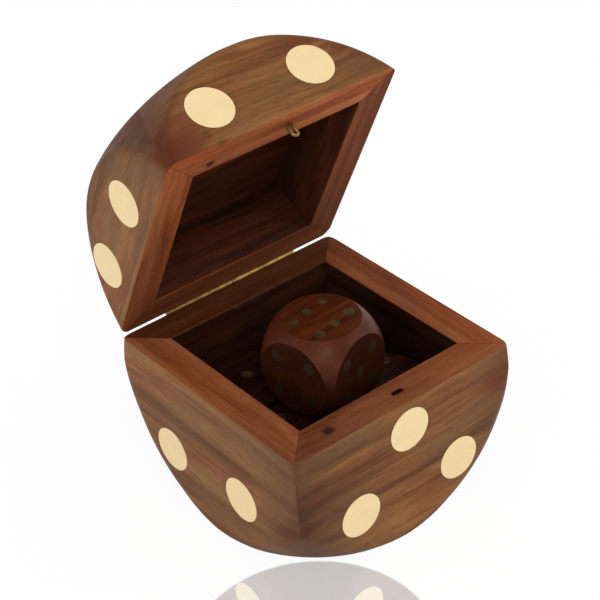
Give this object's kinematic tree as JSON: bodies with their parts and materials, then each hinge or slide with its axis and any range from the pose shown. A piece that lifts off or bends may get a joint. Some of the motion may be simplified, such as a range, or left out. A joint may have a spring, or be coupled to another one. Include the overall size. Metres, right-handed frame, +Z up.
{
  "type": "dice box",
  "caption": "Wooden box shaped like a large die. Its hinged lid opens on a square cavity holding loose wooden dice; brass pips, hinges and wire catch.",
  "frame": {"origin": "centre of the flat that the box stands on", "axes": "+Z up, +Y towards the hinges, -Y towards the catch, +X to the right seen from the catch"},
  "size_m": [0.065, 0.0851, 0.1078],
  "materials": {
    "body_wood": "waxed, fine dark grain",
    "lid_wood": "waxed, fine dark grain",
    "panel_wood": "waxed, dark",
    "inlay_brass": "sanded flush, satin",
    "hinge_brass": "satin",
    "wire_brass": "drawn wire",
    "die_wood": "polished, dark red brown",
    "die_pip_brass": "dulled"
  },
  "bodies": {
    "box": {"body_front_wall": "body_wood", "body_left_wall": "body_wood", "body_right_wall": "body_wood", "body_back_wall": "body_wood", "bottom_panel": "panel_wood", "body_front_pips": "inlay_brass", "body_left_pips": "inlay_brass", "body_right_pips": "inlay_brass", "body_back_pip": "inlay_brass", "bottom_pip": "inlay_brass", "hinge_a_body_leaf": "hinge_brass", "hinge_a_pin": "hinge_brass", "hinge_b_body_leaf": "hinge_brass", "hinge_b_pin": "hinge_brass", "body_hinge_nails": "hinge_brass"},
    "lid": {"lid_front_wall": "lid_wood", "lid_left_wall": "lid_wood", "lid_right_wall": "lid_wood", "lid_back_wall": "lid_wood", "top_panel": "panel_wood", "lid_front_pips": "inlay_brass", "lid_left_pips": "inlay_brass", "lid_right_pip": "inlay_brass", "lid_back_pip": "inlay_brass", "top_pips": "inlay_brass", "hinge_a_lid_leaf": "hinge_brass", "hinge_b_lid_leaf": "hinge_brass", "lid_hinge_nails": "hinge_brass", "catch_loop": "wire_brass"},
    "lower_die_1": {"lower_die_1": "die_wood", "lower_die_1_pips": "die_pip_brass"},
    "lower_die_2": {"lower_die_2": "die_wood", "lower_die_2_pips": "die_pip_brass"},
    "lower_die_3": {"lower_die_3": "die_wood", "lower_die_3_pips": "die_pip_brass"},
    "lower_die_4": {"lower_die_4": "die_wood", "lower_die_4_pips": "die_pip_brass"},
    "top_die": {"top_die": "die_wood", "top_die_pips": "die_pip_brass"}
  },
  "joints": [
    {"name": "lid_hinge", "type": "hinge", "parent": "box", "child": "lid", "pos_m": [0, 0.03295, 0.0393], "axis": [-1, 0, 0], "range_deg": [-64.2, 113.2]},
    {"name": "lower_die_1_lift", "type": "slide", "parent": "box", "child": "lower_die_1", "axis": [0, 0, 1], "range_m": [0, 0.034]},
    {"name": "lower_die_2_lift", "type": "slide", "parent": "lower_die_1", "child": "lower_die_2", "axis": [0, 0, 1], "range_m": [0, 0.034]},
    {"name": "lower_die_3_lift", "type": "slide", "parent": "lower_die_2", "child": "lower_die_3", "axis": [0, 0, 1], "range_m": [0, 0.034]},
    {"name": "lower_die_4_lift", "type": "slide", "parent": "lower_die_3", "child": "lower_die_4", "axis": [0, 0, 1], "range_m": [0, 0.034]},
    {"name": "top_die_lift", "type": "slide", "parent": "lower_die_4", "child": "top_die", "axis": [0, 0, 1], "range_m": [0, 0.034]}
  ]
}
